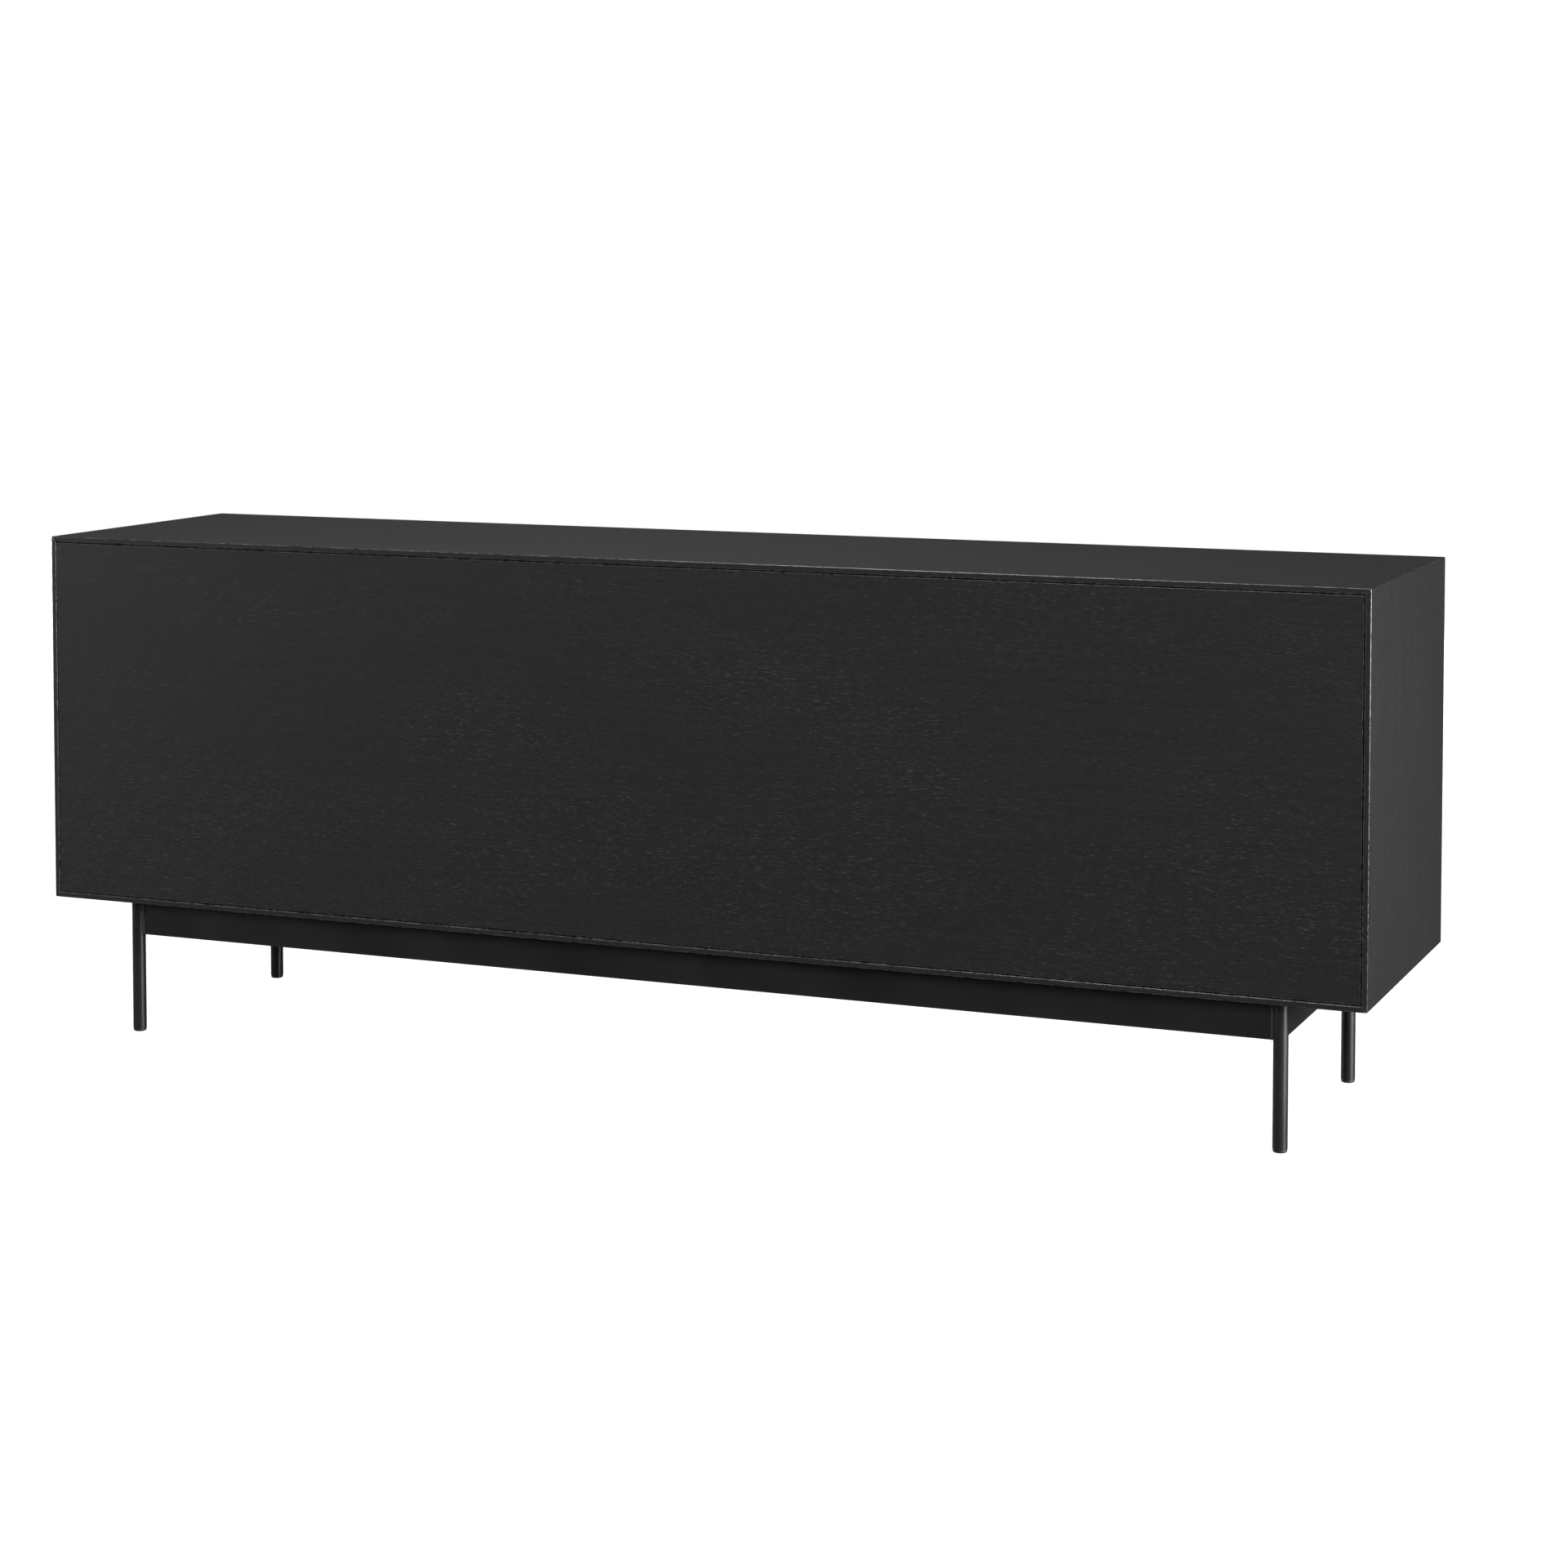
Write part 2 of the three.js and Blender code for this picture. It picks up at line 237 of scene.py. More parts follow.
def piece_from(shape, name, material, slot, body, *stands_for):
    """Makes the shape a piece that rides on a body and stands for CAD nodes.

    The weighted normals keep flat faces flat right up to their rounded edges.
    """
    mesh = bpy.data.meshes.new(name)
    shape.to_mesh(mesh)
    shape.free()
    mesh.materials.append(material)
    mesh.set_sharp_from_angle(angle=math.radians(board_crease_angle))
    piece = bpy.data.objects.new(name, mesh)
    bpy.context.scene.collection.objects.link(piece)
    flat = piece.modifiers.new("flat_faces", "WEIGHTED_NORMAL")
    flat.keep_sharp = True
    view = bpy.context.evaluated_depsgraph_get()
    piece.data = bpy.data.meshes.new_from_object(piece.evaluated_get(view), depsgraph=view)
    piece.modifiers.clear()
    bpy.data.meshes.remove(mesh)
    piece.data.name = name
    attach(piece, body)
    if stands_for:
        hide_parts(*stands_for)


case_grain = {"top": "X", "bottom": "X", "left": "Z", "right": "Z"}
for seed, (side, along) in enumerate(case_grain.items()):
    oak = black_oak(f"black_oak_{side}", along, seed + 1)
    board = ease(solid_from(f"case_{side}"), case_ease, case_ease_steps)
    piece_from(board, f"board_{side}", oak, "stained_oak", "case", f"case_{side}")

# ---------------------------------------------------------------------------------------------
# Dividers: two upright boards of the same black-stained oak, doweled between top and bottom.
# They make the three bays, and the runners are screwed to them.
divider_ease = 0.6 * mm
divider_oak = black_oak("black_oak_dividers", "Z", 7)
for side in ("left", "right"):
    board = ease(solid_from(f"divider_{side}"), divider_ease, 2)
    piece_from(board, f"upright_{side}", divider_oak, "stained_oak", "case", f"divider_{side}")

# ---------------------------------------------------------------------------------------------
# Back panel: a finished sheet of the same veneer, grain along its length, let into a rebate.
# A narrow dark gap runs all round it, because it is cut a little smaller than its opening.
panel_ease = 0.7 * mm
panel_oak = black_oak("black_oak_panel", "X", 12)
panel = ease(solid_from("back_panel"), panel_ease, 3)
piece_from(panel, "back_sheet", panel_oak, "stained_oak", "case", "back_panel")

# ---------------------------------------------------------------------------------------------
# Legs: round steel tube, sawn square and powder-coated black after welding.
# A moulded plastic glide is pressed into the lower end of each.


def powder_coat(name, colour, gloss):
    """Satin powder coat: an even black with the faint orange peel of melted powder."""
    material, tree = new_material(name)
    where = add_node(tree, "ShaderNodeTexCoord").outputs["Object"]
    # Orange peel waves are about 1.5 mm across; they are drawn 3 mm across so that they show.
    peel = add_node(tree, "ShaderNodeTexNoise", Vector=where, Scale=340.0, Detail=2.0)
    cloud = add_node(tree, "ShaderNodeTexNoise", Vector=where, Scale=9.0, Detail=3.0)
    shade = add_node(tree, "ShaderNodeValToRGB", Fac=cloud.outputs["Fac"],
                     stops=[(0.3, linear(colour[0])), (0.7, linear(colour[1]))]).outputs["Color"]
    rough = add_node(tree, "ShaderNodeMapRange", Value=cloud.outputs["Fac"],
                     To_Min=gloss[0], To_Max=gloss[1]).outputs[0]
    bump = add_node(tree, "ShaderNodeBump", Height=peel.outputs["Fac"], Strength=1.0,
                    Distance=0.05 * mm)
    shader = add_node(tree, "ShaderNodeBsdfPrincipled", Base_Color=shade, Roughness=rough,
                      Normal=bump.outputs["Normal"], IOR=1.5)
    add_node(tree, "ShaderNodeOutputMaterial", Surface=shader.outputs["BSDF"])
    return material


def moulded_plastic(name):
    """Black polyethylene, moulded: dull, with a fine spark-eroded texture."""
    material, tree = new_material(name)
    where = add_node(tree, "ShaderNodeTexCoord").outputs["Object"]
    grit = add_node(tree, "ShaderNodeTexNoise", Vector=where, Scale=1400.0, Detail=2.0)
    shade = add_node(tree, "ShaderNodeValToRGB", Fac=grit.outputs["Fac"],
                     stops=[(0.3, linear("#1b1b1c")), (0.7, linear("#26262a"))]).outputs["Color"]
    bump = add_node(tree, "ShaderNodeBump", Height=grit.outputs["Fac"], Strength=1.0,
                    Distance=0.04 * mm)
    shader = add_node(tree, "ShaderNodeBsdfPrincipled", Base_Color=shade, Roughness=0.5,
                      Normal=bump.outputs["Normal"], IOR=1.51)
    add_node(tree, "ShaderNodeOutputMaterial", Surface=shader.outputs["BSDF"])
    return material


def lathe(shape, outline, centre, sides=64):
    """Turns a closed (radius, height) outline about the upright axis through centre."""
    rings = []
    for radius, height in outline:
        if radius == 0:
            rings.append([shape.verts.new(centre + Vector((0, 0, height)))])
            continue
        ring = []
        for i in range(sides):
            angle = 2 * math.pi * i / sides
            spoke = Vector((radius * math.cos(angle), radius * math.sin(angle), height))
            ring.append(shape.verts.new(centre + spoke))
        rings.append(ring)
    for low, high in zip(rings, rings[1:]):
        for i in range(sides):
            corners = [low[i % len(low)], low[(i + 1) % len(low)],
                       high[(i + 1) % len(high)], high[i % len(high)]]
            corners = list(dict.fromkeys(corners))
            if len(corners) > 2:
                shape.faces.new(corners)
    bmesh.ops.recalc_face_normals(shape, faces=shape.faces)
    return shape


def arc(centre_radius, centre_height, size, start, end, steps=5):
    """Points of a rounded corner in a (radius, height) outline; angles in degrees."""
    points = []
    for i in range(steps + 1):
        angle = math.radians(start + (end - start) * i / steps)
        points.append((centre_radius + size * math.cos(angle),
                       centre_height + size * math.sin(angle)))
    return points


black_steel = powder_coat("black_powder_coat", ("#191919", "#202020"), (0.30, 0.42))
glide_plastic = moulded_plastic("black_polyethylene")
tube_wall = 1.5 * mm
tube_chamfer = 0.3 * mm
tube_seam = 0.15 * mm
glide_head = 4.0 * mm
glide_inset = 0.4 * mm
glide_corner = 2.0 * mm
glide_shoulder = 0.3 * mm
glide_dish = 0.35 * mm
glide_rim_width = 3.0 * mm
glide_rim_slope = 0.2 * mm
glide_plug_top = 14 * mm
glide_plug_play = 0.1 * mm
for depth_side in ("front", "back"):
    for side in ("left", "right"):
        leg = f"leg_{depth_side}_{side}"
        low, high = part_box(leg)
        axis = Vector(((low.x + high.x) / 2, (low.y + high.y) / 2, 0))
        radius = (high.x - low.x) / 2
        bore = radius - tube_wall
        bottom = glide_head + tube_seam
        tube = [(bore, bottom), (radius - tube_chamfer, bottom), (radius, bottom + tube_chamfer),
                (radius, high.z), (bore, high.z), (bore, bottom)]
        shape = lathe(bmesh.new(), tube, axis)
        bmesh.ops.remove_doubles(shape, verts=shape.verts, dist=0.001 * mm)
        piece_from(shape, f"tube_{depth_side}_{side}", black_steel, "black_steel", "case", leg)
        # The glide: dished underneath, with a rim to stand on, and a plug up inside the tube.
        rim = radius - glide_inset
        dish_edge = rim - glide_rim_width
        outline = [(0, glide_dish), (dish_edge - glide_rim_slope, glide_dish), (dish_edge, 0)]
        outline += arc(rim - glide_corner, glide_corner, glide_corner, -90, 0)
        outline += arc(rim - glide_shoulder, glide_head - glide_shoulder, glide_shoulder, 0, 90, 2)
        plug = bore - glide_plug_play
        outline += [(plug, glide_head), (plug, glide_plug_top), (0, glide_plug_top)]
        shape = lathe(bmesh.new(), outline, axis)
        piece_from(shape, f"glide_{depth_side}_{side}", glide_plastic, "glide_plastic", "case")

# ---------------------------------------------------------------------------------------------
# Rails and straps: flat steel bar. The rails stand on edge and are welded between the legs, and
# the straps lie flat under the dividers. Edges are only broken, and the base is coated in one go.
rail_ease = 0.5 * mm
strap_ease = 0.4 * mm
rail_sides = ("front", "back", "left", "right")
strap_sides = ("left", "right")
for side in rail_sides:
    bar = ease(solid_from(f"rail_{side}"), rail_ease, 2)
    piece_from(bar, f"bar_{side}", black_steel, "black_steel", "case", f"rail_{side}")
for side in strap_sides:
    bar = ease(solid_from(f"strap_{side}"), strap_ease, 2)
    piece_from(bar, f"flat_{side}", black_steel, "black_steel", "case", f"strap_{side}")

# ---------------------------------------------------------------------------------------------
# Weld beads: a fillet weld down each side of every rail end, where it meets a leg.
# Each bead is a stack of overlapping ripples, left by the torch and then coated with the rest.
bead_radius = 2.2 * mm
bead_pitch = 2.1 * mm
bead_out = 0.55 * bead_radius
bead_off_face = 0.4 * bead_radius
bead_start = 0.6 * bead_radius
leg_gap = 0.3 * mm
fixing_crease_angle = 40


def geometry_tree(name, sockets):
    """A Geometry Nodes tree with a geometry in and out, and the named inputs."""
    tree = bpy.data.node_groups.new(name, "GeometryNodeTree")
    tree.interface.new_socket("Points", in_out="INPUT", socket_type="NodeSocketGeometry")
    for socket_name, kind in sockets.items():
        tree.interface.new_socket(socket_name, in_out="INPUT", socket_type=f"NodeSocket{kind}")
    tree.interface.new_socket("Mesh", in_out="OUTPUT", socket_type="NodeSocketGeometry")
    return tree, tree.nodes.new("NodeGroupInput").outputs


def close_tree(tree, instances, material):
    """Ends a tree: real geometry in place of instances, in one material."""
    real = add_node(tree, "GeometryNodeRealizeInstances", _0=instances).outputs[0]
    coated = add_node(tree, "GeometryNodeSetMaterial", Geometry=real, Material=material)
    add_node(tree, "NodeGroupOutput", _0=coated.outputs[0])
    return tree


def bead_tree():
    """Stands a stack of squashed ripples on every point."""
    tree, given = geometry_tree("weld_beads", {"Ripples": "Int", "Pitch": "Float",
                                               "Radius": "Float", "Material": "Material"})
    step = add_node(tree, "ShaderNodeCombineXYZ", Z=given["Pitch"]).outputs[0]
    line = add_node(tree, "GeometryNodeMeshLine", Count=given["Ripples"], Offset=step)
    ripple = add_node(tree, "GeometryNodeMeshIcoSphere", Radius=given["Radius"], Subdivisions=2)
    size = add_node(tree, "FunctionNodeRandomValue", {"data_type": "FLOAT_VECTOR"},
                    _0=(0.86, 0.86, 0.62), _1=(1.08, 1.08, 0.78), Seed=4)
    stacks = add_node(tree, "GeometryNodeInstanceOnPoints", Points=given["Points"],
                      Instance=line.outputs[0])
    loose = add_node(tree, "GeometryNodeRealizeInstances", _0=stacks.outputs[0])
    ripples = add_node(tree, "GeometryNodeInstanceOnPoints", Points=loose.outputs[0],
                       Instance=ripple.outputs[0], Scale=size.outputs[0])
    return close_tree(tree, ripples.outputs[0], given["Material"])


def grow(name, points, tree, values, body, facing=None):
    """Runs a tree on a set of points, and makes the result a plain piece that rides on a body."""
    mesh = bpy.data.meshes.new(name)
    mesh.from_pydata([tuple(point) for point in points], [], [])
    if facing is not None:
        directions = mesh.attributes.new("facing", "FLOAT_VECTOR", "POINT")
        directions.data.foreach_set("vector", [c for way in facing for c in way])
    source = bpy.data.objects.new(f"{name}_points", mesh)
    bpy.context.scene.collection.objects.link(source)
    modifier = source.modifiers.new("grow", "NODES")
    modifier.node_group = tree
    for socket in tree.interface.items_tree:
        if socket.in_out == "INPUT" and socket.name in values:
            modifier[socket.identifier] = values[socket.name]
    view = bpy.context.evaluated_depsgraph_get()
    made = bpy.data.meshes.new_from_object(source.evaluated_get(view), depsgraph=view)
    source.modifiers.remove(modifier)
    bpy.data.objects.remove(source)
    made.name = name
    made.set_sharp_from_angle(angle=math.radians(fixing_crease_angle))
    piece = bpy.data.objects.new(name, made)
    bpy.context.scene.collection.objects.link(piece)
    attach(piece, body)


bead_points = []
leg_low, leg_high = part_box("leg_front_left")
tube_radius = (leg_high.x - leg_low.x) / 2
for side in rail_sides:
    low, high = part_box(f"rail_{side}")
    rail_size = high - low
    long_way = 0 if rail_size.x > rail_size.y else 1
    thin_way = 1 - long_way
    half_thick = rail_size[thin_way] / 2
    meet = math.sqrt(tube_radius ** 2 - half_thick ** 2)
    for end, inward in ((low, 1), (high, -1)):
        for face in (-1, 1):
            point = Vector((0, 0, low.z + bead_start))
            leg_centre = end[long_way] - inward * (tube_radius + leg_gap)
            point[long_way] = leg_centre + inward * (meet + bead_out)
            middle = (low[thin_way] + high[thin_way]) / 2
            point[thin_way] = middle + face * (half_thick + bead_off_face)
            bead_points.append(point)
rail_low, rail_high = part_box("rail_front")
ripples = int((rail_high.z - rail_low.z - 2 * bead_radius) / bead_pitch) + 1
# The coat flows thin and glossier over the ripples, and its lighter grey is a painted highlight, so
# that the beads catch more light.
bead_coat_with_painted_highlight = powder_coat("powder_coat_over_weld_painted_highlight", ("#2d2d2d", "#383838"), (0.2, 0.3))
grow("weld_beads", bead_points, bead_tree(),
     {"Ripples": ripples, "Pitch": bead_pitch, "Radius": bead_radius, "Material": bead_coat_with_painted_highlight},
     "case")

# ---------------------------------------------------------------------------------------------
# Strap screws: zinc-plated pan-head screws, driven up through the straps into the bottom board.
# Three hold each strap, and the cross recess of each stopped at its own angle.


def zinc_plate(name):
    """Zinc-plated steel: bluish grey, bright but not polished, with faint cloudy patches."""
    material, tree = new_material(name)
    where = add_node(tree, "ShaderNodeTexCoord").outputs["Object"]
    cloud = add_node(tree, "ShaderNodeTexNoise", Vector=where, Scale=420.0, Detail=3.0)
    shade = add_node(tree, "ShaderNodeValToRGB", Fac=cloud.outputs["Fac"],
                     stops=[(0.3, linear("#a9abae")), (0.7, linear("#c6c6c4"))]).outputs["Color"]
    rough = add_node(tree, "ShaderNodeMapRange", Value=cloud.outputs["Fac"],
                     To_Min=0.38, To_Max=0.55).outputs[0]
    shader = add_node(tree, "ShaderNodeBsdfPrincipled", Base_Color=shade, Roughness=rough,
                      Metallic=1.0)
    add_node(tree, "ShaderNodeOutputMaterial", Surface=shader.outputs["BSDF"])
    return material


head_sunk = 0.3 * mm


def head_shape(radius, height, dome, recess, sides=16):
    """A screw head that faces +Z, with a cross recess: height is its rim, dome its crown."""
    shoulder = (0.72 * radius, height + 0.7 * dome)
    outline = [(0, -head_sunk), (radius, -head_sunk), (radius, height), shoulder,
               (0, height + dome)]
    shape = lathe(bmesh.new(), outline, Vector((0, 0, 0)), sides)
    for turned in (0, math.pi / 2):
        slot_size = Matrix.Diagonal((2 * recess, 0.42 * recess, recess, 1))
        place = Matrix.Translation((0, 0, height + dome)) @ Matrix.Rotation(turned, 4, "Z")
        cutter = bmesh.new()
        bmesh.ops.create_cube(cutter, size=1.0, matrix=place @ slot_size)
        shape = subtract(shape, cutter)
    return shape


def subtract(shape, cutter):
    """The shape with the cutter taken out of it; both are used up."""
    pair = []
    for part in (shape, cutter):
        mesh = bpy.data.meshes.new("part")
        part.to_mesh(mesh)
        part.free()
        pair.append(bpy.data.objects.new("part", mesh))
        bpy.context.scene.collection.objects.link(pair[-1])
    cut = pair[0].modifiers.new("cut", "BOOLEAN")
    cut.operation = "DIFFERENCE"
    cut.object = pair[1]
    cut.solver = "EXACT"
    view = bpy.context.evaluated_depsgraph_get()
    mesh = bpy.data.meshes.new_from_object(pair[0].evaluated_get(view), depsgraph=view)
    result = bmesh.new()
    result.from_mesh(mesh)
    bmesh.ops.remove_doubles(result, verts=result.verts, dist=0.005 * mm)
    for part in pair:
        bpy.data.objects.remove(part)
    bpy.data.meshes.remove(mesh)
    return result


def template(name, shape):
    """A shape as an object for a tree to repeat. It is taken away again once it has been used."""
    mesh = bpy.data.meshes.new(name)
    shape.to_mesh(mesh)
    shape.free()
    pattern = bpy.data.objects.new(name, mesh)
    bpy.context.scene.collection.objects.link(pattern)
    return pattern


def fixing_tree():
    """Sets one fixing on every point, along the point's facing, each turned its own way."""
    tree, given = geometry_tree("fixings", {"Fixing": "Object", "Turn": "Float",
                                            "Seed": "Int", "Material": "Material"})
    pattern = add_node(tree, "GeometryNodeObjectInfo", _0=given["Fixing"])
    way = add_node(tree, "GeometryNodeInputNamedAttribute", {"data_type": "FLOAT_VECTOR"},
                   Name="facing").outputs["Attribute"]
    stand = add_node(tree, "FunctionNodeAlignRotationToVector", {"axis": "Z"}, Vector=way)
    angle = add_node(tree, "FunctionNodeRandomValue", Max=given["Turn"], Seed=given["Seed"])
    spin = add_node(tree, "FunctionNodeAxisAngleToRotation", Axis=(0, 0, 1),
                    Angle=angle.outputs["Value"])
    turned = add_node(tree, "FunctionNodeRotateRotation", {"rotation_space": "LOCAL"},
                      _0=stand.outputs[0], _1=spin.outputs[0])
    fixings = add_node(tree, "GeometryNodeInstanceOnPoints", Points=given["Points"],
                       Instance=pattern.outputs["Geometry"], Rotation=turned.outputs[0])
    return close_tree(tree, fixings.outputs[0], given["Material"])


zinc = zinc_plate("zinc_plated_steel")
fixings = fixing_tree()
pan_head = template("pan_head", head_shape(radius=4.0 * mm, height=1.3 * mm, dome=1.1 * mm,
                                           recess=1.7 * mm))
half_turn = math.pi
strap_screw_spots = (-0.4, 0.0, 0.4)
strap_points = []
for side in strap_sides:
    low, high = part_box(f"strap_{side}")
    for share in strap_screw_spots:
        strap_points.append(Vector(((low.x + high.x) / 2, share * (high.y - low.y),
                                    low.z - 0.01 * mm)))
grow("strap_screws", strap_points, fixings,
     {"Fixing": pan_head, "Turn": half_turn, "Seed": 2, "Material": zinc},
     "case", facing=[(0, 0, -1)] * len(strap_points))
bpy.data.objects.remove(pan_head)

# ---------------------------------------------------------------------------------------------
# Runners: planed beech strips, waxed, that the drawers slide on. Each is fixed to its bay wall
# with three countersunk screws, their heads just below the surface.
columns = ("left", "middle", "right")
rows = ("lower", "upper")


def beech(name, along, seed):
    """Steamed beech under clear lacquer: even and warm, with short dark ray flecks."""
    material, tree = new_material(name)
    where = add_node(tree, "ShaderNodeTexCoord").outputs["Object"]
    turn = {"X": (0, 0, 0), "Y": (0, 0, math.radians(90)), "Z": (0, math.radians(90), 0)}[along]
    grain = add_node(tree, "ShaderNodeMapping", Vector=where, Rotation=turn,
                     Location=(seed * 1.3, seed * 0.7, seed * 0.6)).outputs["Vector"]
    ring_space = add_node(tree, "ShaderNodeMapping", Vector=grain, Scale=(2.2, 55.0, 55.0))
    rings = add_node(tree, "ShaderNodeTexNoise", Vector=ring_space.outputs["Vector"],
                     Scale=1.0, Detail=4.0, Roughness=0.55, Distortion=0.4).outputs["Fac"]
    # Ray flecks are 2 to 4 mm long and about 0.4 mm wide.
    fleck_space = add_node(tree, "ShaderNodeMapping", Vector=grain, Scale=(260.0, 1500.0, 1500.0))
    rays = add_node(tree, "ShaderNodeTexNoise", Vector=fleck_space.outputs["Vector"],
                    Scale=1.0, Detail=0.0).outputs["Fac"]
    flecks = add_node(tree, "ShaderNodeValToRGB", stops=[(0.62, black), (0.74, white)],
                      Fac=rays).outputs["Color"]
    colour = add_node(tree, "ShaderNodeValToRGB", Fac=rings,
                      stops=[(0.28, linear("#a98058")), (0.72, linear("#c09a70"))]).outputs["Color"]
    share = add_node(tree, "ShaderNodeMath", {"operation": "MULTIPLY"}, _0=flecks, _1=0.5)
    colour = add_node(tree, "ShaderNodeMix", {"data_type": "RGBA"}, Factor=share.outputs[0],
                      _6=colour, _7=linear("#8f6a45")).outputs[2]
    finish_wood(tree, colour, rings, flecks, gloss=(0.42, 0.55), relief=0.04 * mm)
    return material


runner_beech = beech("waxed_beech_runner", "Y", 3)
runner_ease = 1.0 * mm
runner_screw_spots = (0.12, 0.5, 0.88)
screw_points, screw_facing = [], []
for row in rows:
    for column in columns:
        for side, inward in (("left", 1), ("right", -1)):
            node = f"runner_{row}_{column}_{side}"
            strip = ease(solid_from(node), runner_ease, 2)
            piece_from(strip, f"strip_{row}_{column}_{side}", runner_beech, "drawer_beech",
                       "case", node)
            low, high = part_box(node)
            inner = high.x if inward > 0 else low.x
            for share in runner_screw_spots:
                screw_points.append(Vector((inner, low.y + share * (high.y - low.y),
                                            (low.z + high.z) / 2)))
                screw_facing.append((inward, 0, 0))
flat_head = template("flat_head", head_shape(radius=3.6 * mm, height=0.08 * mm, dome=0.05 * mm,
                                             recess=1.5 * mm))
grow("runner_screws", screw_points, fixings,
     {"Fixing": flat_head, "Turn": half_turn, "Seed": 5, "Material": zinc},
     "case", facing=screw_facing)
bpy.data.objects.remove(flat_head)

# ---------------------------------------------------------------------------------------------
# Drawer fronts: black-stained oak to match the case, with the grain running straight across
# all three. The top edge is bevelled behind for the fingers, and felt pads quieten the closing.


def felt(name):
    """Pressed wool felt, charcoal: matt, with a fuzzy mottle."""
    material, tree = new_material(name)
    where = add_node(tree, "ShaderNodeTexCoord").outputs["Object"]
    fuzz = add_node(tree, "ShaderNodeTexNoise", Vector=where, Scale=2200.0, Detail=4.0)
    shade = add_node(tree, "ShaderNodeValToRGB", Fac=fuzz.outputs["Fac"],
                     stops=[(0.3, linear("#2b2b2d")), (0.7, linear("#4a4a4c"))]).outputs["Color"]
    bump = add_node(tree, "ShaderNodeBump", Height=fuzz.outputs["Fac"], Strength=1.0,
                    Distance=0.2 * mm)
    shader = add_node(tree, "ShaderNodeBsdfPrincipled", Base_Color=shade, Roughness=0.95,
                      Normal=bump.outputs["Normal"])
    add_node(tree, "ShaderNodeOutputMaterial", Surface=shader.outputs["BSDF"])
    return material


pad_radius = 3.0 * mm
pad_thickness = 0.9 * mm
pad_inset = 3.75 * mm
pad_heights = (0.2, 0.8)
pad_outline = [(0, 0), (pad_radius, 0), (pad_radius, 0.6 * pad_thickness),
               (0.85 * pad_radius, pad_thickness), (0, pad_thickness)]
felt_pad = template("felt_pad", lathe(bmesh.new(), pad_outline, Vector((0, 0, 0)), 20))
charcoal_felt = felt("charcoal_felt")
front_ease = 0.8 * mm
front_seeds = {"lower": 17, "upper": 20}
for row in rows:
    row_oak = black_oak(f"black_oak_fronts_{row}", "X", front_seeds[row])
    for column in columns:
        drawer = f"drawer_{row}_{column}"
        front = ease(solid_from(f"{drawer}_front"), front_ease, 3)
        piece_from(front, f"face_{row}_{column}", row_oak, "stained_oak", drawer,
                   f"{drawer}_front")
        low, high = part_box(f"{drawer}_front")
        pads = [Vector((x, high.y, low.z + share * (high.z - low.z)))
                for x in (low.x + pad_inset, high.x - pad_inset) for share in pad_heights]
        grow(f"pads_{row}_{column}", pads, fixings,
             {"Fixing": felt_pad, "Turn": 0.0, "Seed": 1, "Material": charcoal_felt},
             drawer, facing=[(0, 1, 0)] * len(pads))
bpy.data.objects.remove(felt_pad)

# ---------------------------------------------------------------------------------------------
# Drawer boxes: beech boards. The back is dovetailed into the sides, and the sides are drawn
# up to the front with cam fittings, two to each side, whose heads show inside the drawer.
pin_tall = 13 * mm
pin_short = 9 * mm
pin_count = 4


def wedge(x_low, x_high, y_low, y_high, z, tall, short):
    """A dovetail pin: as tall as given at y_low, and short at y_high."""
    shape = bmesh.new()
    corners = [[shape.verts.new((x, y, z + sign * height / 2))
                for y, height, sign in ((y_low, tall, -1), (y_high, short, -1),
                                        (y_high, short, 1), (y_low, tall, 1))]
               for x in (x_low, x_high)]
    shape.faces.new(corners[0])
    shape.faces.new(corners[1])
    for i in range(4):
        shape.faces.new((corners[0][i], corners[0][i - 1], corners[1][i - 1], corners[1][i]))
    bmesh.ops.recalc_face_normals(shape, faces=shape.faces)
    return shape


def pin_heights(low, high):
    """The middles of the pins, evenly spaced up the joint."""
    pitch = (high - low) / pin_count
    return [low + pitch * (i + 0.5) for i in range(pin_count)]


def back_with_pins(node, outer_low, outer_high):
    """The back board, its ends cut into pins that reach the outer faces of the sides."""
    low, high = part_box(node)
    middles = pin_heights(low.z, high.z)
    shape = bmesh.new()
    loops = []
    for y, tall in ((low.y, pin_tall), (high.y, pin_short)):
        right = [(high.x, low.z)]
        for z in middles:
            right += [(high.x, z - tall / 2), (outer_high, z - tall / 2),
                      (outer_high, z + tall / 2), (high.x, z + tall / 2)]
        right.append((high.x, high.z))
        left = [(outer_low if x == outer_high else low.x, z) for x, z in reversed(right)]
        loops.append([shape.verts.new((x, y, z)) for x, z in right + left])
    count = len(loops[0])
    for i in range(count):
        shape.faces.new((loops[0][i - 1], loops[0][i], loops[1][i], loops[1][i - 1]))
    shape.faces.new(loops[0])
    shape.faces.new(loops[1])
    bmesh.ops.recalc_face_normals(shape, faces=shape.faces)
    return shape


def ply(name, seed):
    """Birch plywood: pale rotary-cut face veneer with broad soft figure."""
    material, tree, *patterns = veneer(name, "X", seed, "#b99a74", "#cdb28c", "#a88459", 1.3)
    finish_wood(tree, *patterns, gloss=(0.45, 0.6), relief=0.03 * mm)
    return material


